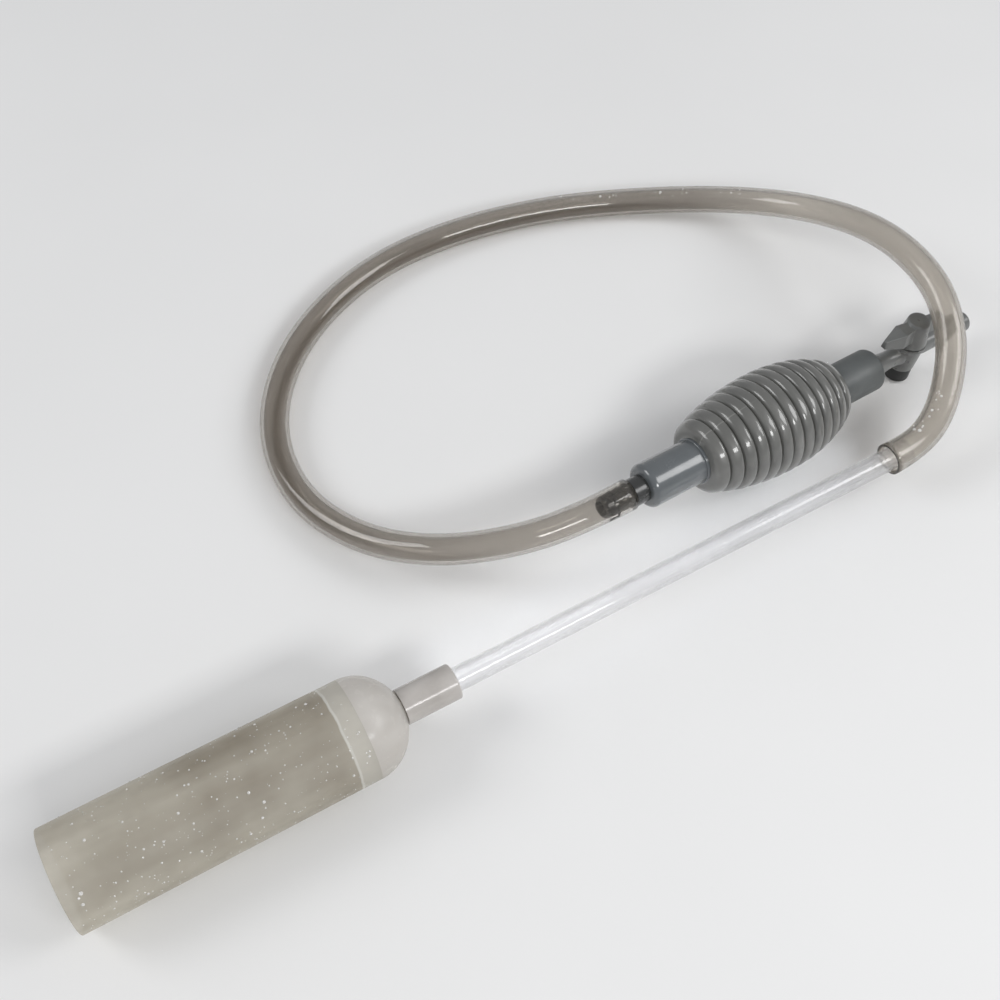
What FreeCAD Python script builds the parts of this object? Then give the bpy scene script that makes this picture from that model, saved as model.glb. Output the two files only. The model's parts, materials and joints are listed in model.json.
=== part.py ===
import FreeCAD, Part
import math
import os

# Gravel vacuum siphon: a gravel tube with a domed head on a clear rigid wand, a soft hose laid in a
# loop, and a priming pump with a bellows bulb, two check valves and a plug valve at its outlet.
#
# Millimetres. +X runs along the wand from the gravel tube's mouth to the hose, +Z is up, and z = 0 is
# the table. The origin is under the middle of everything but the hose.

V = FreeCAD.Vector

# ---- wand ------------------------------------------------------------------------------------------
mouth_x = -278.8          # open mouth of the gravel tube
wand_y = -26.2            # the wand's axis
gravel_tube_r = 25.0
gravel_tube_wall = 1.3
gravel_tube_length = 143.0
mouth_round = 0.6
dome_height = 22.4        # from the gravel tube's end to the neck
dome_wall = 1.6
socket_length = 10.0      # the wider end of the gravel tube's bore, which holds the head's skirt
socket_r = 24.0
skirt_length = 9.5        # stops short of the socket's shoulder
skirt_gap = 0.05          # running fit between skirt and gravel tube
spigot_r = 6.0            # outside of the head's spigot, the same as the clear tube
spigot_bore_r = 4.6
spigot_length = 13.0
sleeve_r = 8.9
sleeve_length = 28.0
clear_tube_r = 6.0
clear_tube_wall = 1.0
clear_tube_start = 179.0  # from the mouth
clear_tube_length = 284.0

# ---- hose ------------------------------------------------------------------------------------------
hose_r = 8.0
hose_bore_r = 6.0
hose_route = [
    (37.4, 15.9, 37.0), (5.6, 13.5, 39.8), (-28, 21, 36), (-61, 40, 27), (-87, 72, 14.5),
    (-103, 114, 8.1), (-99, 159, 8.1), (-75, 199, 8.1), (-37, 229, 8.1), (12, 247, 8.1),
    (66, 248, 8.1), (121, 237, 8.1), (171, 216, 9), (213, 187, 15), (239, 154, 26),
    (249, 117.6, 42), (249.3, 84, 56), (247, 54, 62), (243.5, 29, 60), (235.5, 7, 50),
    (222, -10, 39), (206, -22, 30), (188.5, -26.2, 25), (173, -26.2, 25),
]

# ---- pump ------------------------------------------------------------------------------------------
# Pump pieces are drawn with the flow along +X and the hose side of the front collar at x = 0.
pump_at = V(46.2, 16.5, 36.2)
pump_tilt = 5.0           # degrees nose-down towards the outlet
pump_yaw = 4.35           # degrees anticlockwise from the wand
collar_r = 12.0
collar_bore_r = 10.1
collar_wall = 3.0         # thickness of each collar's end wall
front_collar_length = 34.5
rear_collar_length = 30.5
collar_edge = 3.0         # rounding of the front collar's edge
ring_r = 12.8
ring_width = 1.8
ring_edge = 0.5
ring_step = 0.7           # depth of the collar's step that the ring sits on
bulb_length = 95.5
bulb_max_r = 28.2
bulb_middle = 51.5        # widest place, from the front end of the ribs
bulb_front_half = 68.0    # semi-axes of the two half ellipses that the rib crests lie on
bulb_rear_half = 54.0
rib_count = 13
rib_depth = 2.6
bulb_wall = 1.6
bulb_gap = 0.3            # bulb to rear collar, which moves
neck_r = 9.8
neck_wall = 1.6
front_neck_length = 19.0
rear_neck_length = 19.0
insert_r = 7.9
insert_bore_r = 6.2
flange_r = 9.95
flange_thickness = 2.0
seat_thickness = 2.5
chamber_r = 8.5
chamber_length = 5.0
seat_hole_r = 1.4
seat_hole_circle_r = 4.4
seat_hole_count = 6
disc_r = 7.3
disc_thickness = 1.2
disc_gap = 0.3
disc_edge = 0.3
disc_boss_r = 3.0         # thicker middle of each disc
disc_boss_height = 0.5
hole_gap = 0.02           # between pieces that are pushed or glued together
rear_edge = 2.5           # rounding of the rear collar's outlet end

# ---- inlet fitting ---------------------------------------------------------------------------------
barb_length = 17.4        # inside the hose
shoulder_length = 8.8     # between the hose's end and the collar
shoulder_r = 7.4
shoulder_edge = 0.8
barb_r = 6.0
barb_ridge_r = 6.35
barb_ridge_steps = (5.0, 10.0)   # from the tip to the foot of each ridge
barb_ridge_length = 2.0
barb_tip_cut = 0.7        # how much thinner the very tip is
fitting_bore_r = 4.2
shank_r = 6.0
barb_slot_width = 2.4
barb_slot_length = 6.0

# ---- outlet valve ----------------------------------------------------------------------------------
valve_x = 188.0           # the plug's axis
spigot_end_r = 5.0        # the valve body's end inside the rear collar
valve_flange_r = 6.9      # where the valve body meets the rear collar
valve_flange_length = 2.0
valve_waist_r = 5.5
valve_neck_r = 5.8        # beside the barrel
nozzle_step_x = 8.5       # from the plug's axis to where the nozzle widens
nozzle_step_length = 1.5
outlet_end_x = 233.6
outlet_r = 6.0
outlet_bore_r = 4.0
outlet_edge = 1.0         # rounding of the nozzle's end
barrel_foot_r = 7.4       # the barrel widens upwards
barrel_head_r = 8.7
barrel_bore_r = 5.6
barrel_bottom = -10.2
barrel_top = 7.6
barrel_flange_r = 9.3
barrel_flange_height = 1.9
plug_gap = 0.05           # running fit between plug and barrel
plug_bottom = -8.6
plug_top = 12.0
plug_port_r = 3.6
ring_section_r = 0.75
ring_groove_depth = 1.65
ring_groove_height = 1.7
ring_level = 6.0          # above and below the flow axis
cap_r = 7.1
cap_bottom = -18.8
cap_edge = 0.8
cap_plug_gap = 0.4        # between the cap's short plug and the valve's plug
hub_r = 8.6
hub_bottom = 7.9
hub_shoulder = 9.4        # above this the hub tapers
hub_top = 24.0
hub_top_r = 6.2
hub_edge = 1.2
arm_bottom = 12.8
arm_top = 22.3            # at the hub
arm_end_top = 20.6
arm_low_half = 4.0        # half widths of the arms' sloping sides, at the foot and at the top
arm_high_half = 2.4
arm_reach = 17.0          # plain end, over the outlet
arrow_reach = 24.5        # pointed end, over the inlet
arrow_base = 13.0
arrow_low_half = 5.7
arrow_high_half = 4.6
arrow_tip_bottom = 14.6
arrow_tip_top = 19.6
arrow_tip_low_half = 1.7
arrow_tip_high_half = 0.9

shapes = {}


# ---- drawing helpers -------------------------------------------------------------------------------
def turned(*outline):
    """Solid turned about X from an outline of (x, radius) points. A point given as a pair of points
    is an arc: through the first, to the second."""
    last = V(outline[0][0], 0, outline[0][1])
    edges = []
    for item in list(outline[1:]) + [outline[0]]:
        if isinstance(item[0], tuple):
            middle = V(item[0][0], 0, item[0][1])
            here = V(item[1][0], 0, item[1][1])
            edges.append(Part.Arc(last, middle, here).toShape())
        else:
            here = V(item[0], 0, item[1])
            if here.isEqual(last, 1e-6):
                continue
            edges.append(Part.LineSegment(last, here).toShape())
        last = here
    face = Part.Face(Part.Wire(edges))
    solid = face.revolve(V(0, 0, 0), V(1, 0, 0), 360)
    return Part.Solid(solid.Shells[0]) if solid.ShapeType != "Solid" else solid


def rod(x0, x1, r):
    """Cylinder along X."""
    return Part.makeCylinder(r, x1 - x0, V(x0, 0, 0), V(1, 0, 0))


def tube(x0, x1, r_out, r_in):
    """Straight tube along X."""
    return rod(x0, x1, r_out).cut(rod(x0 - 1, x1 + 1, r_in))


def post(x, z0, z1, r):
    """Cylinder along Z through the axis at x."""
    return Part.makeCylinder(r, z1 - z0, V(x, 0, z0), V(0, 0, 1))


def arm_section(x, low_half, high_half, z0, z1):
    """Upright cross-section of a lever arm, wider at its foot."""
    corners = [V(x, -low_half, z0), V(x, low_half, z0), V(x, high_half, z1), V(x, -high_half, z1)]
    return Part.makePolygon(corners + corners[:1])


def rounded_to(x, r, radius):
    """Arc item for turned(): rounds the outside edge of an end face at x, radius r."""
    k = radius * (1 - math.sqrt(0.5))
    return ((x - k, r - k), (x, r - radius))


def on_wand(shape):
    """Places a piece drawn along X from the gravel tube's mouth."""
    shape.Placement = FreeCAD.Placement(V(mouth_x, wand_y, gravel_tube_r), FreeCAD.Rotation())
    return shape


def on_pump(shape):
    """Places a piece drawn in the pump's own frame."""
    yaw = FreeCAD.Rotation(V(0, 0, 1), pump_yaw)
    tilt = FreeCAD.Rotation(V(0, 1, 0), pump_tilt)
    shape.Placement = FreeCAD.Placement(pump_at, yaw.multiply(tilt))
    return shape


# ---- wand pieces -----------------------------------------------------------------------------------
def make_gravel_tube():
    r, bore_r, length = gravel_tube_r, gravel_tube_r - gravel_tube_wall, gravel_tube_length
    k = mouth_round * (1 - math.sqrt(0.5))
    shoulder_x = length - socket_length
    return turned(
        (0, bore_r), (0, r - mouth_round), ((k, r - k), (mouth_round, r)),
        (length, r), (length, socket_r), (shoulder_x, socket_r), (shoulder_x, bore_r),
    )


def make_dome_cap():
    """Skirt, half-ellipsoid dome and spigot in one moulding."""
    r = gravel_tube_r
    x0 = gravel_tube_length
    x1 = x0 + dome_height
    skirt_r = socket_r - skirt_gap

    def arch(x_start, height, radius, foot_r, x_foot):
        """Two arcs that follow an ellipse from (x_start, radius) to (x_foot, foot_r)."""
        def at(angle):
            return (x_start + height * math.sin(angle), radius * math.cos(angle))
        end = math.acos(foot_r / radius)
        first, second = at(end / 2), at(end)
        return [(at(end / 4), first), (at(end * 3 / 4), (x_foot, second[1]))]

    outer_h = dome_height / math.sin(math.acos(spigot_r / r))
    inner_r = skirt_r - dome_wall
    inner_h = outer_h - dome_wall
    inner_foot_x = x0 + inner_h * math.sin(math.acos(spigot_bore_r / inner_r))
    outer = arch(x0, outer_h, r, spigot_r, x1)
    outside = turned(
        (x0 - skirt_length, 0), (x0 - skirt_length, skirt_r), (x0, skirt_r), (x0, r), *outer,
        (x1 + spigot_length, spigot_r), (x1 + spigot_length, 0),
    )
    inside = turned(
        (x0 - skirt_length - 1, 0), (x0 - skirt_length - 1, inner_r), (x0, inner_r),
        *arch(x0, inner_h, inner_r, spigot_bore_r, inner_foot_x),
        (x1 + spigot_length + 1, spigot_bore_r), (x1 + spigot_length + 1, 0),
    )
    return outside.cut(inside)


def make_neck_sleeve():
    x0 = gravel_tube_length + dome_height
    x1 = x0 + sleeve_length
    edge = 1.0
    return turned(
        (x0, spigot_r), (x0, sleeve_r), (x1 - edge, sleeve_r), rounded_to(x1, sleeve_r, edge),
        (x1, spigot_r),
    )


shapes["gravel_tube"] = on_wand(make_gravel_tube())
shapes["dome_cap"] = on_wand(make_dome_cap())
shapes["neck_sleeve"] = on_wand(make_neck_sleeve())
shapes["clear_tube"] = on_wand(
    tube(clear_tube_start, clear_tube_start + clear_tube_length, clear_tube_r,
         clear_tube_r - clear_tube_wall)
)


# ---- hose ------------------------------------------------------------------------------------------
def hose_path(points):
    """Straight runs joined by tangent arcs, each arc as large as its two runs allow."""
    share = 0.45
    edges, radii, length = [], [], 0.0
    start = points[0]
    for before, corner, after in zip(points, points[1:], points[2:]):
        back, on = before - corner, after - corner
        reach = share * min(back.Length, on.Length)
        turn = math.pi - back.getAngle(on)
        radius = reach / math.tan(turn / 2)
        back.normalize()
        on.normalize()
        entry, leave = corner + back * reach, corner + on * reach
        bisector = back + on
        bisector.normalize()
        middle = corner + bisector * (radius / math.cos(turn / 2) - radius)
        edges.append(Part.LineSegment(start, entry).toShape())
        edges.append(Part.Arc(entry, middle, leave).toShape())
        length += (entry - start).Length + radius * turn
        radii.append(radius)
        start = leave
    edges.append(Part.LineSegment(start, points[-1]).toShape())
    length += (points[-1] - start).Length
    return Part.Wire(edges), radii, length


def swept(path, point, direction, radius):
    """Round bar of the given radius along a path."""
    ring = Part.Wire(Part.makeCircle(radius, point, direction))
    return path.makePipeShell([ring], True, False)


route = [V(*point) for point in hose_route]
path, radii, hose_length = hose_path(route)
first_way = route[1] - route[0]
hose = swept(path, route[0], first_way, hose_r).cut(swept(path, route[0], first_way, hose_bore_r))
shapes["hose"] = hose.Solids[0]
hose_section = math.pi * (hose_r ** 2 - hose_bore_r ** 2)
print("hose length %.1f, radii" % hose_length, " ".join("%.0f" % r for r in radii))
print("hose volume %.0f, section x length %.0f" % (hose.Volume, hose_section * hose_length))


# ---- pump pieces, hose side ------------------------------------------------------------------------
def make_inlet_fitting():
    """Barbed spigot with a slotted tip, shoulder, and the shank and flange inside the collar."""
    tip = -shoulder_length - barb_length
    outline = [(tip, fitting_bore_r), (tip, barb_r - barb_tip_cut), (tip + 2 * barb_tip_cut, barb_r)]
    for step in barb_ridge_steps:
        foot, top = tip + step, tip + step + barb_ridge_length
        outline += [(foot, barb_r), (top, barb_ridge_r), (top + 0.1 * barb_ridge_length, barb_r)]
    inside = collar_wall + flange_thickness
    outline += [
        (-shoulder_length, barb_r), (-shoulder_length, shoulder_r - shoulder_edge),
        (-shoulder_length + shoulder_edge, shoulder_r), (0, shoulder_r), (0, shank_r),
        (collar_wall, shank_r),
        (collar_wall, flange_r), (inside, flange_r), (inside, fitting_bore_r),
    ]
    body = turned(*outline)
    slot = Part.makeBox(
        barb_slot_length, 4 * barb_r, barb_slot_width,
        V(tip - 0.5, -2 * barb_r, -barb_slot_width / 2),
    )
    return body.cut(slot)


def make_front_collar():
    hole = shank_r + hole_gap
    k = collar_edge * (1 - math.sqrt(0.5))
    end = front_collar_length
    return turned(
        (0, hole), (0, collar_r - collar_edge), ((k, collar_r - k), (collar_edge, collar_r)),
        (end - ring_width, collar_r), (end - ring_width, collar_r - ring_step),
        (end, collar_r - ring_step), (end, collar_bore_r), (collar_wall, collar_bore_r),
        (collar_wall, hole),
    )


def make_collar_ring():
    x1 = front_collar_length
    x0 = x1 - ring_width
    low = collar_r - ring_step
    k = ring_edge * (1 - math.sqrt(0.5))
    return turned(
        (x0, low), (x0, ring_r - ring_edge), ((x0 + k, ring_r - k), (x0 + ring_edge, ring_r)),
        (x1 - ring_edge, ring_r), rounded_to(x1, ring_r, ring_edge), (x1, low),
    )


def crest_radius(x):
    """Radius of the rib crests at x: two half ellipses that meet at the widest place."""
    middle = front_collar_length + bulb_middle
    half = bulb_front_half if x < middle else bulb_rear_half
    return bulb_max_r * math.sqrt(1 - ((x - middle) / half) ** 2)


def rib_line(inset):
    """Rib arcs from the front end of the bulb to its rear end, moved inwards by inset."""
    pitch = (bulb_length - bulb_gap) / rib_count
    start = front_collar_length
    points = []
    for rib in range(rib_count):
        x0, x1 = start + rib * pitch, start + (rib + 1) * pitch
        crest = ((x0 + x1) / 2, crest_radius((x0 + x1) / 2) - inset)
        valley = (x1, crest_radius(x1) - rib_depth - inset)
        points.append((crest, valley))
    return points


def make_bellows_bulb():
    """Ribbed bulb with a plain neck at each end. The wall follows the ribs."""
    x0 = front_collar_length
    x1 = x0 + bulb_length - bulb_gap
    neck_bore = neck_r - neck_wall
    front, rear = crest_radius(x0) - rib_depth, crest_radius(x1) - rib_depth
    front_end, rear_end = x0 - front_neck_length, x1 + rear_neck_length
    outside = turned(
        (front_end, 0), (front_end, neck_r), (x0, neck_r), (x0, front), *rib_line(0),
        (x1, neck_r), (rear_end, neck_r), (rear_end, 0),
    )
    t = bulb_wall
    front_in = front - t
    inner_ribs = rib_line(t)
    inside = turned(
        (front_end - 1, 0), (front_end - 1, neck_bore), (x0 + t, neck_bore),
        (x0 + t, front_in), *inner_ribs[:-1], inner_ribs[-1][0], (x1 - t, neck_bore),
        (rear_end + 1, neck_bore), (rear_end + 1, 0),
    )
    return outside.cut(inside)


def make_neck_insert(flange_x, end_x):
    """Stiff sleeve inside a bulb neck, with a flange that closes the check valve's chamber."""
    way = 1 if end_x > flange_x else -1
    inner_x = flange_x + way * flange_thickness
    lows, highs = sorted((flange_x, inner_x)), sorted((inner_x, end_x))
    flange = tube(lows[0], lows[1], flange_r, insert_bore_r)
    sleeve = tube(highs[0], highs[1], insert_r, insert_bore_r)
    return flange.fuse(sleeve).removeSplitter()


def make_valve_seat(x):
    """Plate with a ring of holes and a rim, which together hold a check disc."""
    plate = rod(x, x + seat_thickness, flange_r)
    rim = tube(x + seat_thickness, x + seat_thickness + chamber_length, flange_r, chamber_r)
    seat = plate.fuse(rim).removeSplitter()
    for number in range(seat_hole_count):
        angle = 2 * math.pi * number / seat_hole_count
        middle = V(x - 1, seat_hole_circle_r * math.cos(angle), seat_hole_circle_r * math.sin(angle))
        seat = seat.cut(Part.makeCylinder(seat_hole_r, seat_thickness + 2, middle, V(1, 0, 0)))
    return seat


def make_check_disc(seat_x):
    """Soft disc that lies on a seat's holes and lifts towards the outlet. Its middle is thicker."""
    x0 = seat_x + seat_thickness + disc_gap
    x1 = x0 + disc_thickness
    x2 = x1 + disc_boss_height
    return turned(
        (x0, 0), (x0, disc_r - disc_edge), (x0 + disc_edge, disc_r), (x1, disc_r),
        (x1, disc_boss_r), (x2, disc_boss_r - disc_boss_height), (x2, 0),
    )


inlet_seat_x = collar_wall + flange_thickness
front_flange_x = inlet_seat_x + seat_thickness + chamber_length
rear_collar_x = front_collar_length + bulb_length
rear_neck_end = rear_collar_x - bulb_gap + rear_neck_length
rear_flange_x = rear_neck_end + bulb_gap + flange_thickness
outlet_seat_x = rear_flange_x
rear_wall_x = outlet_seat_x + seat_thickness + chamber_length
rear_end_x = rear_collar_x + rear_collar_length

shapes["inlet_fitting"] = on_pump(make_inlet_fitting())
shapes["front_collar"] = on_pump(make_front_collar())
shapes["front_collar_ring"] = on_pump(make_collar_ring())
shapes["inlet_valve_seat"] = on_pump(make_valve_seat(inlet_seat_x))
shapes["inlet_valve_disc"] = on_pump(make_check_disc(inlet_seat_x))
shapes["front_neck_insert"] = on_pump(make_neck_insert(front_flange_x, front_collar_length - 1))
shapes["bellows_bulb"] = on_pump(make_bellows_bulb())


# ---- pump pieces, outlet side ----------------------------------------------------------------------
def make_rear_collar():
    end = rear_end_x
    hole = spigot_end_r + hole_gap
    return turned(
        (rear_collar_x, collar_bore_r), (rear_collar_x, collar_r), (end - rear_edge, collar_r),
        rounded_to(end, collar_r, rear_edge), (end, hole), (rear_wall_x, hole),
        (rear_wall_x, collar_bore_r),
    )


def make_valve_body():
    """Inlet neck, upright barrel and outlet nozzle in one moulding, bored for the plug and the flow."""
    end = outlet_end_x
    waist_start = rear_end_x + valve_flange_length
    waist_end = valve_x - barrel_foot_r
    neck = turned(
        (rear_wall_x, 0), (rear_wall_x, spigot_end_r), (rear_end_x, spigot_end_r),
        (rear_end_x, valve_flange_r), (waist_start, valve_flange_r),
        ((0.65 * waist_start + 0.35 * waist_end, valve_waist_r), (waist_end, valve_neck_r)),
        (valve_x, valve_neck_r), (valve_x, 0),
    )
    step = valve_x + nozzle_step_x
    nozzle = turned(
        (valve_x, 0), (valve_x, valve_neck_r), (step, valve_neck_r),
        (step + nozzle_step_length, outlet_r), (end - outlet_edge, outlet_r),
        rounded_to(end, outlet_r, outlet_edge), (end, 0),
    )
    barrel = Part.makeCone(barrel_foot_r, barrel_head_r, barrel_top - barrel_bottom,
                           V(valve_x, 0, barrel_bottom))
    flange = post(valve_x, barrel_top - barrel_flange_height, barrel_top, barrel_flange_r)
    body = barrel.fuse([flange, neck, nozzle]).removeSplitter()
    plug_hole = post(valve_x, barrel_bottom - 1, barrel_top + 1, barrel_bore_r)
    inlet_bore = rod(rear_wall_x - 1, valve_x, plug_port_r)
    outlet_bore = rod(valve_x, end + 1, outlet_bore_r)
    return body.cut(plug_hole.fuse([inlet_bore, outlet_bore]))


def make_bottom_cap():
    """Cap on the barrel's foot, with a short plug inside it."""
    cap = post(valve_x, cap_bottom, barrel_bottom, cap_r)
    foot_edge = [e for e in cap.Edges if abs(e.BoundBox.ZMax - cap_bottom) < 1e-6]
    cap = cap.makeFillet(cap_edge, foot_edge)
    inner = post(valve_x, barrel_bottom, plug_bottom - cap_plug_gap, barrel_bore_r - hole_gap)
    return cap.fuse(inner).removeSplitter()


def make_valve_plug():
    """Plug with a cross port in line with the flow and a groove for each O-ring."""
    r = barrel_bore_r - plug_gap
    plug = post(valve_x, plug_bottom, plug_top, r)
    plug = plug.cut(rod(valve_x - 10, valve_x + 10, plug_port_r))
    for level in (ring_level, -ring_level):
        z0, z1 = level - ring_groove_height / 2, level + ring_groove_height / 2
        core = post(valve_x, z0 - 1, z1 + 1, r - ring_groove_depth)
        plug = plug.cut(post(valve_x, z0, z1, r + 1).cut(core))
    return plug


def make_plug_ring(level):
    r = barrel_bore_r - plug_gap - ring_section_r
    return Part.makeTorus(r, ring_section_r, V(valve_x, 0, level), V(0, 0, 1))


def make_valve_handle():
    """Round tapered hub with a plain arm over the outlet and a pointed arm over the inlet."""
    foot = post(valve_x, hub_bottom, hub_shoulder, hub_r)
    taper = Part.makeCone(hub_r, hub_top_r, hub_top - hub_shoulder, V(valve_x, 0, hub_shoulder))
    top_edge = [e for e in taper.Edges if e.BoundBox.ZMin > hub_top - 1e-6]
    taper = taper.makeFillet(hub_edge, top_edge)
    middle = arm_section(valve_x, arm_low_half, arm_high_half, arm_bottom, arm_top)
    plain_end = arm_section(valve_x + arm_reach, arm_low_half, arm_high_half, arm_bottom, arm_end_top)
    base = arm_section(valve_x - arrow_base, arrow_low_half, arrow_high_half, arm_bottom, arm_top)
    tip = arm_section(valve_x - arrow_reach, arrow_tip_low_half, arrow_tip_high_half,
                      arrow_tip_bottom, arrow_tip_top)
    spans = ((middle, plain_end), (middle, base), (base, tip))
    arms = [Part.makeLoft([a, b], True, True) for a, b in spans]
    handle = foot.fuse([taper] + arms).removeSplitter()
    stem_hole_r = barrel_bore_r - plug_gap + hole_gap
    return handle.cut(post(valve_x, hub_bottom - 1, plug_top + hole_gap, stem_hole_r))


shapes["rear_neck_insert"] = on_pump(make_neck_insert(rear_flange_x, rear_collar_x + 1))
shapes["rear_collar"] = on_pump(make_rear_collar())
shapes["outlet_valve_seat"] = on_pump(make_valve_seat(outlet_seat_x))
shapes["outlet_valve_disc"] = on_pump(make_check_disc(outlet_seat_x))
shapes["valve_body"] = on_pump(make_valve_body())
shapes["valve_bottom_cap"] = on_pump(make_bottom_cap())
shapes["valve_plug"] = on_pump(make_valve_plug())
shapes["plug_ring_upper"] = on_pump(make_plug_ring(ring_level))
shapes["plug_ring_lower"] = on_pump(make_plug_ring(-ring_level))
shapes["valve_handle"] = on_pump(make_valve_handle())


# ---- output ----------------------------------------------------------------------------------------
os.makedirs("parts", exist_ok=True)
whole = FreeCAD.BoundBox()
for name, shape in shapes.items():
    if not shape.isValid() or len(shape.Solids) != 1:
        print("check", name, shape.isValid(), len(shape.Solids))
    shape.exportStep("parts/%s.step" % name)
    if name != "hose":
        whole.add(shape.optimalBoundingBox())
print("box without hose: x %.2f %.2f  y %.2f %.2f  z %.2f %.2f" % (
    whole.XMin, whole.XMax, whole.YMin, whole.YMax, whole.ZMin, whole.ZMax))
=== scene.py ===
import json
import math
import random

import bmesh
import bpy
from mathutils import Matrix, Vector


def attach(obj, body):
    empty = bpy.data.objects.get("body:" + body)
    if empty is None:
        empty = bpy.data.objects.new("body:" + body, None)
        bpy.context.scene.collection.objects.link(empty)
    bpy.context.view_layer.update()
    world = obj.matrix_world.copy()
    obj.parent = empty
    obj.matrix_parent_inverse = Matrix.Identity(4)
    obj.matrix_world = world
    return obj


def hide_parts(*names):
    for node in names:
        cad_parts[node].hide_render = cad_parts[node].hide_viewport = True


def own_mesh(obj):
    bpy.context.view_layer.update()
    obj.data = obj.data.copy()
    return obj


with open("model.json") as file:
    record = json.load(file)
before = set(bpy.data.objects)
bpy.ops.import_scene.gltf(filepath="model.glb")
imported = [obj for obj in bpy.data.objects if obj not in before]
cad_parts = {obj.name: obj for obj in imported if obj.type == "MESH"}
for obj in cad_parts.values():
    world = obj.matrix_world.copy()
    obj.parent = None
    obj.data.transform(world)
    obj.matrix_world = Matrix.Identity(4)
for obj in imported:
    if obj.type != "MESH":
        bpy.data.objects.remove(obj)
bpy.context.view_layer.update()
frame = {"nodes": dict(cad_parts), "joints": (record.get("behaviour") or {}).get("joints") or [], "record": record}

# Looks of the gravel vacuum siphon, in metres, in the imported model's frame: +X along the wand from the
# gravel tube's mouth to the hose, +Z up, z = 0 the table.

nodes = frame["nodes"]
joints = {joint["name"]: joint for joint in frame["joints"]}
mounts = {mount["name"]: mount for mount in frame["record"]["mounts"]}

# ---- places taken from the frame -------------------------------------------------------------------
mouth = Vector(mounts["gravel_tube_mouth"]["pos_m"])
wand_way = Vector((1, 0, 0))
pump_way = -Vector(joints["bulb_squeeze"]["axis"]).normalized()      # flow, hose side to outlet
pump_up = Vector(joints["valve_turn"]["axis"]).normalized()
pump_side = pump_up.cross(pump_way)
valve_at = 0.188                                                     # from the front collar's face
pump_start = Vector(joints["valve_turn"]["pos_m"]) - valve_at * pump_way

# ---- sizes of the pieces made here -----------------------------------------------------------------
tube_r = 0.025
tube_length = 0.143
skirt_start = 0.1335
hose_r = 0.008
hose_bore_r = 0.006
hose_sides = 48
stretch_reach = 0.024     # how far the hose is stretched from each end
barb_stretch = 0.0004     # what the stretch adds to the hose's radius and to its bore's
wand_stretch = 0.0006
barb_bore_stretch = 0.0005
wand_bore_stretch = 0.0002
mouth_flare = 0.003       # length of the widened mouth at the wand's end
mouth_flare_r = 0.0011
# distances from the pump: the hose reaches the floor, leaves it, and is up over the valve
hose_down = 0.14
hose_lift = 0.585
hose_up = 0.655
matt_start = 0.60
matt_end = 0.69
bulb_start = 0.0345
bulb_end = 0.1297
bulb_max_r = 0.0282
bulb_middle = 0.086
bulb_front_half = 0.068
bulb_rear_half = 0.054
bulb_neck_r = 0.0097
bulb_stub = 0.0015        # length of the neck inside each collar
rib_count = 13
rib_depth = 0.0034
rib_steps = 16            # points along one rib, closest together in the grooves
rib_fullness = 3.2        # exponents of a rib's rounded section
rib_shoulder = 0.55
moulding_voxel = 0.00031
moulding_passes = 12
drop_middle_r = 0.00025
drop_spread = 0.5         # of the logarithm of a drop's radius
drop_largest_r = 0.0011
drop_sides = 9
drop_height = 0.55        # height over radius
drop_levels = (-0.15, 0.42, 0.75)     # heights of a drop's rings, over its whole height
wand_drop_tries = 1050
wand_drop_margins = (0.002, 0.001)    # bare length at the tube's mouth and at its other end
drop_lowest = -0.93       # no drops where the tube's normal points further down than this
hose_drop_growth = 1.7
hose_drop_scatter = 11    # degrees
# stretches of drops on the hose: start and end along it, lean in degrees, how many
hose_drop_runs = [(0.50, 0.555, 12, 9), (0.56, 0.615, 15, 12), (0.828, 0.858, 22, 16)]

# ---- camera, floor and lights ----------------------------------------------------------------------
camera_place = (-0.2047, -0.2792, 0.590)
camera_target = Vector((-0.0079, 0.0667, 0))
camera_lens = 47.88       # millimetres, as the sensor's width is
sensor_width = 36
floor_half = 4.0
floor_gap = 0.0001        # how far the floor lies under the object
room_light = 0.43
# name, place, what it points at, size, watts
lights = [
    ("right_window", (1.36, -0.77, 1.30), (0.04, 0.05, 0), (0.84, 0.92), 12.6),
    ("left_window", (-1.60, 1.05, 1.50), (0.0, 0.10, 0), (1.05, 1.05), 16.0),
    ("front", (0.08, -1.36, 1.15), (0.04, 0.05, 0), (1.0, 0.30), 11.5),
]

# the hose's route, the same points as the CAD tube's, in metres
hose_route = [
    (0.0374, 0.0159, 0.0370), (0.0056, 0.0135, 0.0398), (-0.028, 0.021, 0.036),
    (-0.061, 0.040, 0.027), (-0.087, 0.072, 0.0145), (-0.103, 0.114, 0.0081),
    (-0.099, 0.159, 0.0081), (-0.075, 0.199, 0.0081), (-0.037, 0.229, 0.0081),
    (0.012, 0.247, 0.0081), (0.066, 0.248, 0.0081), (0.121, 0.237, 0.0081),
    (0.171, 0.216, 0.009), (0.213, 0.187, 0.015), (0.239, 0.154, 0.026),
    (0.249, 0.1176, 0.042), (0.2493, 0.084, 0.056), (0.247, 0.054, 0.062),
    (0.2435, 0.029, 0.060), (0.2355, 0.007, 0.050), (0.222, -0.010, 0.039),
    (0.206, -0.022, 0.030), (0.1885, -0.0262, 0.025), (0.173, -0.0262, 0.025),
]


# ---- mesh helpers ----------------------------------------------------------------------------------
def new_piece(name, mesh):
    made = bpy.data.objects.new(name, mesh)
    bpy.context.scene.collection.objects.link(made)
    return made


def mesh_of(name, points, faces, smooth=True):
    mesh = bpy.data.meshes.new(name)
    mesh.from_pydata([tuple(p) for p in points], [], faces)
    mesh.polygons.foreach_set("use_smooth", [smooth] * len(mesh.polygons))
    mesh.update()
    return mesh


def paint(piece, finish):
    piece.data.materials.clear()
    piece.data.materials.append(finish)


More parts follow.
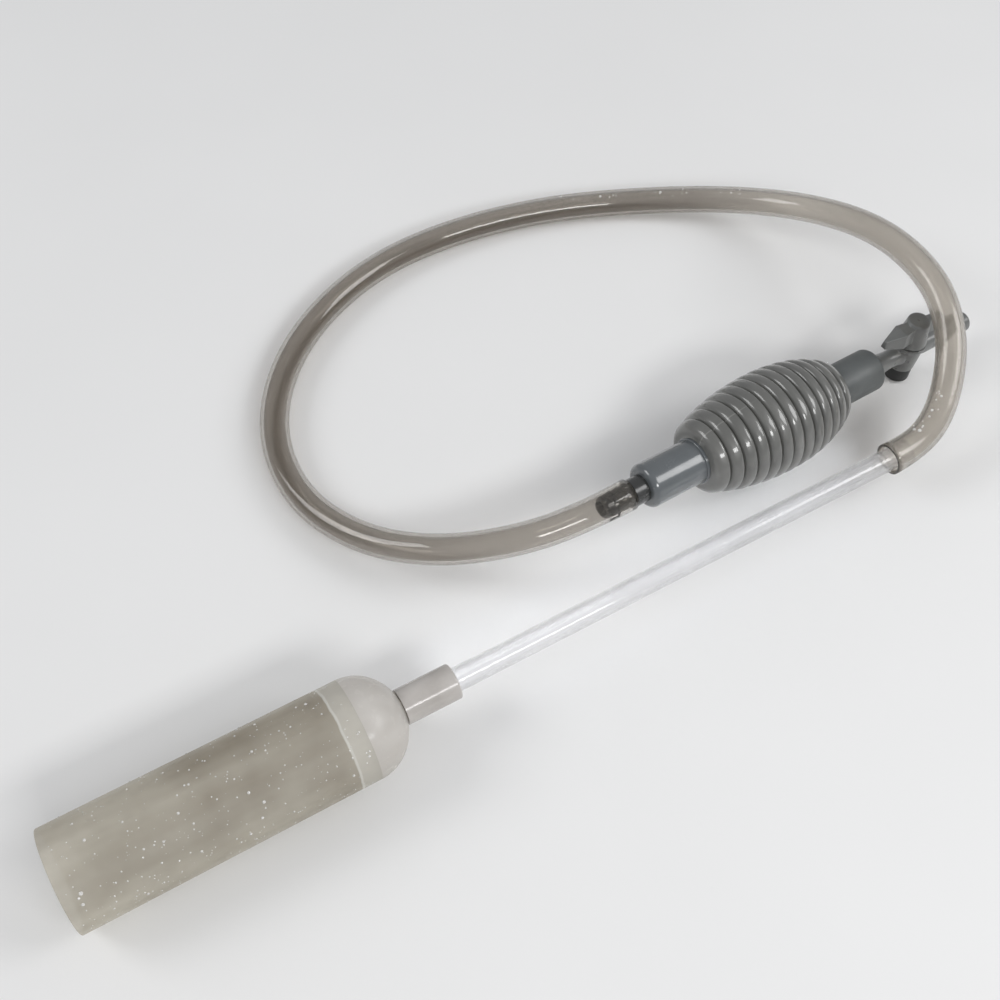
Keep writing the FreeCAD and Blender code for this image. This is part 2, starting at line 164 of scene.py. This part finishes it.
def ring_faces(rings, sides, first=0, flip=False):
    """Quads between consecutive rings of points."""
    faces = []
    for ring in range(rings - 1):
        a = first + ring * sides
        for side in range(sides):
            quad = (a + side, a + (side + 1) % sides, a + sides + (side + 1) % sides, a + sides + side)
            faces.append(quad[::-1] if flip else quad)
    return faces


def carried_frames(line):
    """A normal and a binormal at each point of a line, carried along it without twist."""
    frames = []
    normal = None
    for i, point in enumerate(line):
        along = (line[min(i + 1, len(line) - 1)] - line[max(i - 1, 0)]).normalized()
        if normal is None:
            normal = (Vector((0, 0, 1)) - along * along.z).normalized()
        normal = (normal - along * normal.dot(along)).normalized()
        frames.append((normal, along.cross(normal)))
    return frames


def distances(line):
    """Distance along a line at each of its points."""
    travelled = [0.0]
    for a, b in zip(line, line[1:]):
        travelled.append(travelled[-1] + (b - a).length)
    return travelled


def hollow_tube(name, line, outer_r, inner_r, sides):
    """Closed tube wall along a line. outer_r and inner_r give a radius at each distance along it. Its UV
    map holds the distance along the hose and the way round, both in metres."""
    frames = carried_frames(line)
    travelled = distances(line)
    points = []
    for radius_at in (outer_r, inner_r):
        for here, (normal, binormal), way in zip(line, frames, travelled):
            radius = radius_at(way, travelled[-1])
            for side in range(sides):
                angle = 2 * math.pi * side / sides
                points.append(here + (normal * math.cos(angle) + binormal * math.sin(angle)) * radius)
    count = len(line)
    inside = count * sides
    faces = ring_faces(count, sides) + ring_faces(count, sides, inside, flip=True)
    last = (count - 1) * sides
    for side in range(sides):
        on = (side + 1) % sides
        faces.append((on, side, inside + side, inside + on))
        faces.append((last + side, last + on, inside + last + on, inside + last + side))
    mesh = mesh_of(name, points, faces)
    layer = mesh.uv_layers.new(name="along_hose")
    for loop in mesh.loops:
        index = loop.vertex_index % inside
        round_way = (index % sides) / sides * 2 * math.pi * hose_r
        layer.data[loop.index].uv = (travelled[index // sides], round_way)
    return mesh


def turned_mesh(name, outline, place, sides=128):
    """Closed mesh turned about the pump's axis from (along, radius) points that start and end on it."""
    points = [place(along, radius * math.cos(2 * math.pi * side / sides),
                    radius * math.sin(2 * math.pi * side / sides))
              for along, radius in outline[1:-1] for side in range(sides)]
    rings = len(outline) - 2
    faces = ring_faces(rings, sides)
    first, last = len(points), len(points) + 1
    points += [place(outline[0][0], 0, 0), place(outline[-1][0], 0, 0)]
    for side in range(sides):
        on = (side + 1) % sides
        faces.append((first, on, side))
        faces.append((last, (rings - 1) * sides + side, (rings - 1) * sides + on))
    return mesh_of(name, points, faces)


def on_pump(along, side, up):
    return pump_start + pump_way * along + pump_side * side + pump_up * up


def outward(mesh):
    """Turns every face of a closed mesh outwards."""
    work = bmesh.new()
    work.from_mesh(mesh)
    bmesh.ops.recalc_face_normals(work, faces=work.faces)
    work.to_mesh(mesh)
    work.free()
    return mesh


def moulded_copy(cad_node, name):
    """A copy of a CAD node's mesh with the softened edges of a moulding."""
    work = bmesh.new()
    work.from_mesh(nodes[cad_node].data)
    bmesh.ops.remove_doubles(work, verts=work.verts, dist=1e-6)
    mesh = bpy.data.meshes.new(name)
    work.to_mesh(mesh)
    work.free()
    blank = new_piece(name + "_blank", mesh)
    remesh = blank.modifiers.new("remesh", "REMESH")
    remesh.mode = "VOXEL"
    remesh.voxel_size = moulding_voxel
    remesh.use_smooth_shade = True
    smooth = blank.modifiers.new("smooth", "SMOOTH")
    smooth.factor = 0.5
    smooth.iterations = moulding_passes
    done = bpy.data.meshes.new_from_object(blank.evaluated_get(bpy.context.evaluated_depsgraph_get()))
    bpy.data.objects.remove(blank)
    return new_piece(name, done)


# ---- material helpers ------------------------------------------------------------------------------
def node(tree, kind, inputs=None, **settings):
    """A shader node. Its inputs are sockets to link or plain values."""
    made = tree.nodes.new("ShaderNode" + kind)
    for key, value in settings.items():
        setattr(made, key, value)
    for key, value in (inputs or {}).items():
        if isinstance(value, bpy.types.NodeSocket):
            tree.links.new(value, made.inputs[key])
        else:
            made.inputs[key].default_value = value
    return made


def blank_material(name):
    made = bpy.data.materials.new(name)
    made.use_nodes = True
    made.node_tree.nodes.clear()
    return made, made.node_tree


def finished(tree, surface):
    node(tree, "OutputMaterial", {"Surface": surface})


def places(tree, scale=(1, 1, 1), turn=(0, 0, 0)):
    """The piece's own coordinates in metres, scaled and turned."""
    own = node(tree, "TexCoord").outputs["Object"]
    return node(tree, "Mapping", {"Vector": own, "Scale": scale, "Rotation": turn}).outputs[0]


def noise(tree, scale, detail=2.0, vector=None, roughness=0.5):
    inputs = {"Scale": scale, "Detail": detail, "Roughness": roughness,
              "Vector": vector or places(tree)}
    return node(tree, "TexNoise", inputs).outputs["Fac"]


def ramp(tree, value, *stops):
    """Colours or grey levels between stops of (position, level)."""
    made = node(tree, "ValToRGB", {"Fac": value})
    band = made.color_ramp
    while len(band.elements) < len(stops):
        band.elements.new(0.5)
    for element, (position, level) in zip(band.elements, stops):
        element.position = position
        element.color = level if isinstance(level, tuple) else (level, level, level, 1)
    return made.outputs["Color"]


def bump(tree, height, strength, distance, normal=None):
    inputs = {"Height": height, "Strength": strength, "Distance": distance}
    if normal is not None:
        inputs["Normal"] = normal
    return node(tree, "Bump", inputs).outputs[0]


def maths(tree, operation, a, b):
    return node(tree, "Math", {0: a, 1: b}, operation=operation).outputs[0]


def principled(tree, **inputs):
    return node(tree, "BsdfPrincipled",
                {key.replace("_", " "): value for key, value in inputs.items()}).outputs[0]


def rgb(r, g, b):
    return (r, g, b, 1.0)


# ---- materials -------------------------------------------------------------------------------------
def along_way(tree, way, start):
    """Distance along a direction from a start point, at each place of a piece."""
    reach = node(tree, "VectorMath", {0: places(tree), 1: tuple(way)}, operation="DOT_PRODUCT")
    return maths(tree, "SUBTRACT", reach.outputs["Value"], way.dot(start))


def mould_line(tree, colour):
    """A pale mould line along the bulb's first ribs, in the plane through the pump's axis."""
    off_plane = maths(tree, "ABSOLUTE", along_way(tree, pump_side, pump_start), 0)
    millimetres_off = maths(tree, "MULTIPLY", off_plane, 1000)
    line = ramp(tree, millimetres_off, (0.16, 1.0), (0.34, 0.0))
    decimetres_along = maths(tree, "MULTIPLY", along_way(tree, pump_way, pump_start), 10)
    share = ramp(tree, decimetres_along, (0.55, 0.34), (0.70, 0.0))
    return node(tree, "Mix", {"Factor": maths(tree, "MULTIPLY", line, share), "A": colour,
                              "B": rgb(0.36, 0.36, 0.34)}, data_type="RGBA").outputs["Result"]


def moulded_plastic(name, dark, light, rough=(0.25, 0.4), grain=900, grain_height=0.00004, coat=0.0,
                    lined=False):
    """Opaque injection-moulded plastic: cloudy tone, uneven gloss, faint flow ripples and fine grain."""
    made, tree = blank_material(name)
    cloud = noise(tree, 55, 4)
    colour = ramp(tree, cloud, (0.32, rgb(*dark)), (0.68, rgb(*light)))
    if lined:
        colour = mould_line(tree, colour)
    shine = ramp(tree, noise(tree, 140, 3), (0.3, rough[0]), (0.7, rough[1]))
    ripples = bump(tree, noise(tree, 90, 1), 0.5, 0.0002)
    grain_bump = bump(tree, noise(tree, grain, 3), 0.6, grain_height, ripples)
    finished(tree, principled(tree, Base_Color=colour, Roughness=shine, Normal=grain_bump,
                              Coat_Weight=coat, Coat_Roughness=0.07))
    return made


def frosted_plastic(name, dark, light, clear, gloss, skirt=False):
    """Thin frosted plastic: part of the light goes straight through, part is scattered. With a skirt,
    the tube's end over the head's skirt is paler, with a wet line where the skirt starts. That band
    belongs to the tube's material and goes with the tube when it is pulled off."""
    made, tree = blank_material(name)
    patches = noise(tree, 22, 3)
    streaks = noise(tree, 1, 2, places(tree, (9, 70, 70)))
    tone = maths(tree, "ADD", maths(tree, "MULTIPLY", patches, 0.6),
                 maths(tree, "MULTIPLY", streaks, 0.4))
    colour = ramp(tree, tone, (0.36, rgb(*dark)), (0.62, rgb(*light)))
    if skirt:
        along = node(tree, "SeparateXYZ", {0: places(tree)}).outputs["X"]
        wander = maths(tree, "MULTIPLY", maths(tree, "SUBTRACT", noise(tree, 60, 3), 0.5), 0.003)
        from_mouth = maths(tree, "SUBTRACT", maths(tree, "ADD", along, wander), mouth.x)
        share = node(tree, "MapRange", {"Value": from_mouth, "From Min": skirt_start - 0.004,
                                        "From Max": skirt_start + 0.004}).outputs[0]
        band = ramp(tree, share, (0.0, 0.0), (0.40, 0.0), (0.46, 1.0), (0.54, 1.0), (0.60, 0.55),
                    (1.0, 0.55))
        colour = node(tree, "Mix", {"Factor": band, "A": colour, "B": rgb(0.93, 0.93, 0.90)},
                      data_type="RGBA").outputs["Result"]
    shine = ramp(tree, noise(tree, 260, 3), (0.3, gloss[0]), (0.7, gloss[1]))
    frost = bump(tree, noise(tree, 2200, 2), 0.35, 0.00003, bump(tree, noise(tree, 45, 2), 0.4, 0.0003))
    skin = principled(tree, Base_Color=colour, Roughness=shine, Normal=frost)
    glow = node(tree, "BsdfTranslucent", {"Color": colour, "Normal": frost}).outputs[0]
    body = node(tree, "MixShader", {"Fac": 0.45, 1: skin, 2: glow}).outputs[0]
    opening = node(tree, "BsdfTransparent", {"Color": rgb(0.95, 0.94, 0.91)}).outputs[0]
    amount = ramp(tree, noise(tree, 30, 3), (0.3, clear - 0.07), (0.7, clear + 0.07))
    finished(tree, node(tree, "MixShader", {"Fac": amount, 1: body, 2: opening}).outputs[0])
    return made


def clear_plastic(name, tint, rough, index, lamp_tint):
    """Clear plastic with a glossy coat: half of it refracts, and half lets what is behind it show
    straight through. Lamps shine through it, tinted."""
    made, tree = blank_material(name)
    shine = ramp(tree, noise(tree, 120, 3), (0.35, rough), (0.75, rough + 0.05))
    waves = bump(tree, noise(tree, 1, 1, places(tree, (8, 90, 90))), 0.06, 0.0001)
    glass = principled(tree, Base_Color=rgb(*tint), Roughness=shine, IOR=index, Transmission_Weight=1.0,
                       Normal=waves, Coat_Weight=1.0, Coat_Roughness=0.03)
    lamp = node(tree, "BsdfTransparent", {"Color": rgb(*lamp_tint)}).outputs[0]
    opening = node(tree, "BsdfTransparent", {"Color": rgb(0.99, 0.99, 0.995)}).outputs[0]
    faint = node(tree, "MixShader", {"Fac": 0.5, 1: glass, 2: opening}).outputs[0]
    shadow = node(tree, "LightPath").outputs["Is Shadow Ray"]
    finished(tree, node(tree, "MixShader", {"Fac": shadow, 1: faint, 2: lamp}).outputs[0])
    return made


def smoky_vinyl(name):
    """Soft smoky see-through hose wall: real refraction with a tinted body, a little haze, a glossy skin
    and faint drawn-out streaks. Its tint is darker where it lies on the floor, as painted shade under it,
    and it is hazier and more matt on the lifted bend. Its tint deepens towards its edges, as the way
    through the wall gets longer. Lamps shine through it, tinted."""
    made, tree = blank_material(name)
    along = node(tree, "TexCoord").outputs["UV"]
    drawn = node(tree, "Mapping", {"Vector": along, "Scale": (14, 500, 1)}).outputs[0]
    streak = noise(tree, 1, 3, drawn)
    way = node(tree, "SeparateXYZ", {0: along}).outputs["X"]
    bend = node(tree, "MapRange", {"Value": way, "From Min": matt_start, "From Max": matt_end}).outputs[0]
    # The tint is darker where the hose lies on the floor: painted shade under it. It is half dark near the hose's
    # start and pale on the bend lifted over the valve.
    raised_free_of_painted_shade = ramp(tree, way, (0.0, 0.5), (0.05, 0.4), (hose_down, 0.0), (hose_lift, 0.0),
                  (hose_up, 1.0))
    shine = maths(tree, "ADD", maths(tree, "MULTIPLY", bend, 0.08),
                  maths(tree, "MULTIPLY", noise(tree, 180, 3), 0.07))
    skin_bump = bump(tree, streak, 0.08, 0.00006, bump(tree, noise(tree, 60, 1), 0.12, 0.0001))
    dark = ramp(tree, streak, (0.3, rgb(0.605, 0.58, 0.545)), (0.7, rgb(0.68, 0.65, 0.615)))
    pale = ramp(tree, streak, (0.3, rgb(0.835, 0.808, 0.765)), (0.7, rgb(0.87, 0.845, 0.805)))
    tint = node(tree, "Mix", {"Factor": raised_free_of_painted_shade, "A": dark, "B": pale},
                data_type="RGBA").outputs["Result"]
    grazing = node(tree, "LayerWeight", {"Blend": 0.5}).outputs["Facing"]
    thick = ramp(tree, grazing, (0.30, 1.0), (0.48, 0.85), (0.76, 0.78), (0.95, 0.42))
    tint = node(tree, "Mix", {"Factor": 1.0, "A": tint, "B": thick},
                data_type="RGBA", blend_type="MULTIPLY").outputs["Result"]
    glass = principled(tree, Base_Color=tint, Roughness=shine, IOR=1.45, Transmission_Weight=1.0,
                       Normal=skin_bump)
    colour = ramp(tree, streak, (0.3, rgb(0.46, 0.425, 0.375)), (0.7, rgb(0.55, 0.51, 0.455)))
    skin = principled(tree, Base_Color=colour, Roughness=shine, Normal=skin_bump)
    glow = node(tree, "BsdfTranslucent", {"Color": colour}).outputs[0]
    haze = node(tree, "MixShader", {"Fac": 0.5, 1: skin, 2: glow}).outputs[0]
    milky = maths(tree, "ADD", maths(tree, "MULTIPLY", bend, 0.12), 0.06)
    body = node(tree, "MixShader", {"Fac": milky, 1: glass, 2: haze}).outputs[0]
    lamp = node(tree, "BsdfTransparent", {"Color": rgb(0.44, 0.41, 0.37)}).outputs[0]
    shadow = node(tree, "LightPath").outputs["Is Shadow Ray"]
    finished(tree, node(tree, "MixShader", {"Fac": shadow, 1: body, 2: lamp}).outputs[0])
    return made


def water(name):
    """Small drops: clear, with a glint; their white base colour is painted highlight that makes them bright."""
    made, tree = blank_material(name)
    shine = ramp(tree, noise(tree, 900, 1), (0.3, 0.02), (0.7, 0.08))
    # The white base colour is painted highlight: it stands for the drops' bright glints.
    drop = principled(tree, Base_Color=rgb(0.93, 0.93, 0.92), Roughness=shine, IOR=1.33,
                      Coat_Weight=1.0, Coat_Roughness=0.03)
    opening = node(tree, "BsdfTransparent", {"Color": rgb(1, 1, 1)}).outputs[0]
    finished(tree, node(tree, "MixShader", {"Fac": 0.45, 1: drop, 2: opening}).outputs[0])
    return made


def paper(name):
    """Matt pale floor with a very faint mottle."""
    made, tree = blank_material(name)
    tone = ramp(tree, noise(tree, 5, 4), (0.3, rgb(0.79, 0.79, 0.785)), (0.7, rgb(0.81, 0.81, 0.805)))
    tooth = bump(tree, noise(tree, 500, 3), 0.12, 0.0002)
    finished(tree, principled(tree, Base_Color=tone, Roughness=0.95, Normal=tooth,
                              Specular_IOR_Level=0.1))
    return made


# ---- pieces ----------------------------------------------------------------------------------------
def hose_line():
    """The hose's centreline, read from a smooth spline through its route's control points."""
    curve = bpy.data.curves.new("hose_route", "CURVE")
    curve.dimensions = "3D"
    curve.resolution_u = 14
    spline = curve.splines.new("NURBS")
    spline.points.add(len(hose_route) - 1)
    for point, place in zip(spline.points, hose_route):
        point.co = (*place, 1)
    spline.order_u = 3
    spline.use_endpoint_u = True
    carrier = bpy.data.objects.new("hose_route", curve)
    sampled = bpy.data.meshes.new_from_object(carrier)
    line = [vertex.co.copy() for vertex in sampled.vertices]
    bpy.data.objects.remove(carrier)
    bpy.data.meshes.remove(sampled)
    return line


def near_ends(way, whole, at_start, at_end, reach=stretch_reach):
    """Extra radius near the hose's two ends, where it is stretched over the barb and the wand."""
    def share(distance):
        t = min(max(1 - distance / reach, 0), 1)
        return t * t * (3 - 2 * t)
    return at_start * share(way) + at_end * share(whole - way)


def hose_outer_r(way, whole):
    return hose_r + near_ends(way, whole, barb_stretch, wand_stretch)


def hose_inner_r(way, whole):
    stretched = hose_bore_r + near_ends(way, whole, barb_bore_stretch, wand_bore_stretch)
    return stretched + near_ends(way, whole, 0, mouth_flare_r, mouth_flare)


def make_hose():
    """The hose, with its two cut end faces in a darker finish. Gives back its centreline."""
    line = hose_line()
    mesh = hollow_tube("hose_tube", line, hose_outer_r, hose_inner_r, hose_sides)
    hose = new_piece("hose_tube", outward(mesh))
    paint(hose, smoky_vinyl("smoky_vinyl"))
    cut = moulded_plastic("cut_vinyl", (0.060, 0.055, 0.048), (0.090, 0.083, 0.073))
    hose.data.materials.append(cut)
    for face in list(hose.data.polygons)[-2 * hose_sides:]:
        face.material_index = 1
    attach(hose, "root")
    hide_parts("hose")
    return line


def crest(along):
    """The bulb's radius over its ribs: half an ellipse on each side of its widest place."""
    half = bulb_front_half if along < bulb_middle else bulb_rear_half
    return bulb_max_r * math.sqrt(1 - ((along - bulb_middle) / half) ** 2)


def make_bulb():
    """Ribbed bulb: full rounded ribs with narrow grooves, and a short neck into each collar."""
    front = bulb_start - bulb_stub
    rear = bulb_end + bulb_stub
    pitch = (bulb_end - bulb_start) / rib_count
    outline = [(front, 0), (front, bulb_neck_r), (bulb_start, bulb_neck_r)]
    for rib in range(rib_count):
        first_step = 1 if rib else 0
        for step in range(first_step, rib_steps + 1):
            share = (1 - math.cos(math.pi * step / rib_steps)) / 2
            along = bulb_start + (rib + share) * pitch
            swell = (1 - abs(2 * share - 1) ** rib_fullness) ** rib_shoulder
            outline.append((along, crest(along) - rib_depth * (1 - swell)))
    outline += [(bulb_end, bulb_neck_r), (rear, bulb_neck_r), (rear, 0)]
    bulb = new_piece("bulb_skin", outward(turned_mesh("bulb_skin", outline, on_pump)))
    paint(bulb, moulded_plastic("bulb_vinyl", (0.100, 0.101, 0.094), (0.140, 0.140, 0.131),
                                rough=(0.28, 0.42), grain=700, grain_height=0.00002, coat=1.0,
                                lined=True))
    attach(bulb, "root")
    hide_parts("bellows_bulb")
    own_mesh(bulb)


def drop_dome(points, faces, foot, normal, radius):
    """Adds one flattened drop that stands on a surface, its lowest ring a little below it."""
    turn = Vector((0, 0, 1)).rotation_difference(normal)
    base = len(points)
    for level in drop_levels:
        r = radius * math.sqrt(max(1 - max(level, 0) ** 2, 0))
        for side in range(drop_sides):
            angle = 2 * math.pi * side / drop_sides
            local = Vector((r * math.cos(angle), r * math.sin(angle), level * radius * drop_height))
            points.append(foot + turn @ local)
    top, bottom = len(points), len(points) + 1
    points.append(foot + turn @ Vector((0, 0, radius * drop_height)))
    points.append(foot + turn @ Vector((0, 0, drop_levels[0] * radius * drop_height)))
    faces += ring_faces(len(drop_levels), drop_sides, base)
    top_ring = base + (len(drop_levels) - 1) * drop_sides
    for side in range(drop_sides):
        on = (side + 1) % drop_sides
        faces.append((top, top_ring + side, top_ring + on))
        faces.append((bottom, base + on, base + side))


def make_drops(name, body, finish, spots):
    """One piece with a drop at each spot of (foot, normal, radius), riding on a body."""
    points, faces = [], []
    for foot, normal, radius in spots:
        drop_dome(points, faces, foot, normal, radius)
    drops = new_piece(name, outward(mesh_of(name, points, faces)))
    paint(drops, finish)
    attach(drops, body)


def wand_spot(chance, along, radius, size):
    """A drop's place on a tube round the wand's axis, at a chance angle."""
    angle = chance.uniform(0, 2 * math.pi)
    normal = Vector((0, math.cos(angle), math.sin(angle)))
    return mouth + wand_way * along + normal * radius, normal, size


def drop_size(chance):
    return min(drop_middle_r * math.exp(chance.gauss(0, drop_spread)), drop_largest_r)


def make_wand_drops(finish):
    """Drops all round the gravel tube, except along the line it lies on."""
    chance = random.Random(11)
    at_mouth, at_head = wand_drop_margins
    spots = [wand_spot(chance, chance.uniform(at_mouth, tube_length - at_head), tube_r, drop_size(chance))
             for _ in range(wand_drop_tries)]
    spots = [spot for spot in spots if spot[1].z > drop_lowest]
    make_drops("gravel_tube_drops", "gravel_end", finish, spots)


def make_hose_drops(line, finish):
    """Drops on the hose's upper side, in three short stretches."""
    chance = random.Random(5)
    travelled = distances(line)
    spots = []
    for start, end, lean, count in hose_drop_runs:
        for _ in range(count):
            way = chance.uniform(start, end)
            index = min(range(1, len(line) - 1), key=lambda i: abs(travelled[i] - way))
            along = (line[index + 1] - line[index - 1]).normalized()
            up = (Vector((0, 0, 1)) - along * along.z).normalized()
            angle = math.radians(chance.gauss(lean, hose_drop_scatter))
            normal = up * math.cos(angle) + along.cross(up) * math.sin(angle)
            foot = line[index] + along * (way - travelled[index]) + normal * hose_r
            spots.append((foot, normal, drop_size(chance) * hose_drop_growth))
    make_drops("hose_drops", "root", finish, spots)


def make_moulding(cad_node, name, body, finish):
    """A softened copy that stands for a CAD node."""
    piece = moulded_copy(cad_node, name)
    paint(piece, finish)
    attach(piece, body)
    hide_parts(cad_node)


# ---- camera ----------------------------------------------------------------------------------------
def make_camera():
    data = bpy.data.cameras.new("camera")
    data.lens = camera_lens
    data.sensor_width = sensor_width
    camera = bpy.data.objects.new("camera", data)
    bpy.context.scene.collection.objects.link(camera)
    camera.location = camera_place
    camera.rotation_euler = (camera_target - camera.location).to_track_quat("-Z", "Y").to_euler()
    bpy.context.scene.camera = camera


# ---- stage -----------------------------------------------------------------------------------------
def make_light(name, place, target, size, power):
    """A white rectangular lamp that points at a place."""
    data = bpy.data.lights.new(name, "AREA")
    data.shape = "RECTANGLE"
    data.size, data.size_y = size
    data.energy = power
    light = bpy.data.objects.new(name, data)
    bpy.context.scene.collection.objects.link(light)
    light.location = place
    light.rotation_euler = (Vector(target) - Vector(place)).to_track_quat("-Z", "Y").to_euler()


def make_stage():
    """A pale floor, soft room light and three soft lamps."""
    points = [(-floor_half, -floor_half, 0), (floor_half, -floor_half, 0),
              (floor_half, floor_half, 0), (-floor_half, floor_half, 0)]
    floor = new_piece("floor", mesh_of("floor", points, [(0, 1, 2, 3)], smooth=False))
    floor.location.z = -floor_gap
    paint(floor, paper("paper"))
    world = bpy.data.worlds.new("studio")
    world.use_nodes = True
    background = world.node_tree.nodes["Background"]
    background.inputs["Color"].default_value = rgb(0.96, 0.97, 1.0)
    background.inputs["Strength"].default_value = room_light
    bpy.context.scene.world = world
    for light in lights:
        make_light(*light)
    bpy.context.scene.view_settings.view_transform = "Standard"


# ---- putting it together ---------------------------------------------------------------------------
make_camera()
hose_path = make_hose()
make_bulb()

tube_finish = frosted_plastic("frosted_tube", (0.46, 0.42, 0.355), (0.71, 0.68, 0.61), 0.40,
                              (0.45, 0.62), skirt=True)
head_finish = frosted_plastic("frosted_head", (0.73, 0.705, 0.675), (0.88, 0.86, 0.835), 0.26,
                              (0.18, 0.30))
sleeve_finish = moulded_plastic("sleeve_vinyl", (0.40, 0.375, 0.35), (0.51, 0.485, 0.46),
                                rough=(0.12, 0.2))
acrylic = clear_plastic("acrylic", (0.995, 0.995, 1.0), 0.01, 1.42, (0.95, 0.955, 0.965))
slate = moulded_plastic("slate_plastic", (0.090, 0.100, 0.106), (0.116, 0.127, 0.134),
                        rough=(0.16, 0.28), coat=0.8)
charcoal = moulded_plastic("charcoal_plastic", (0.018, 0.019, 0.018), (0.032, 0.033, 0.032),
                           rough=(0.18, 0.32), coat=0.5)
valve_grey = moulded_plastic("valve_plastic", (0.112, 0.116, 0.112), (0.150, 0.154, 0.150),
                             rough=(0.24, 0.38), coat=0.4)
grey_green = moulded_plastic("rear_collar_plastic", (0.078, 0.085, 0.085), (0.102, 0.110, 0.110),
                             rough=(0.42, 0.56))
near_black = moulded_plastic("foot_plastic", (0.010, 0.011, 0.010), (0.018, 0.019, 0.018),
                             rough=(0.4, 0.55))
chalk = moulded_plastic("valve_seat_plastic", (0.68, 0.68, 0.65), (0.76, 0.76, 0.73), rough=(0.35, 0.5))
rubber = moulded_plastic("seal_rubber", (0.020, 0.020, 0.020), (0.034, 0.034, 0.034), rough=(0.5, 0.65))
drop_finish = water("water_drops")

finishes = {
    "gravel_tube": tube_finish, "dome_cap": head_finish, "neck_sleeve": sleeve_finish,
    "clear_tube": acrylic, "inlet_fitting": charcoal, "front_collar": slate,
    "front_collar_ring": slate, "rear_collar": grey_green, "valve_bottom_cap": near_black,
    "valve_plug": near_black, "inlet_valve_seat": chalk, "outlet_valve_seat": chalk,
    "front_neck_insert": chalk, "rear_neck_insert": chalk, "inlet_valve_disc": rubber,
    "outlet_valve_disc": rubber, "plug_ring_upper": rubber, "plug_ring_lower": rubber,
}
for name, finish in finishes.items():
    paint(nodes[name], finish)

make_moulding("valve_body", "valve_body_moulding", "pump_rear", valve_grey)
make_moulding("valve_handle", "valve_handle_moulding", "valve_stem", valve_grey)
make_wand_drops(drop_finish)
make_hose_drops(hose_path, drop_finish)
make_stage()
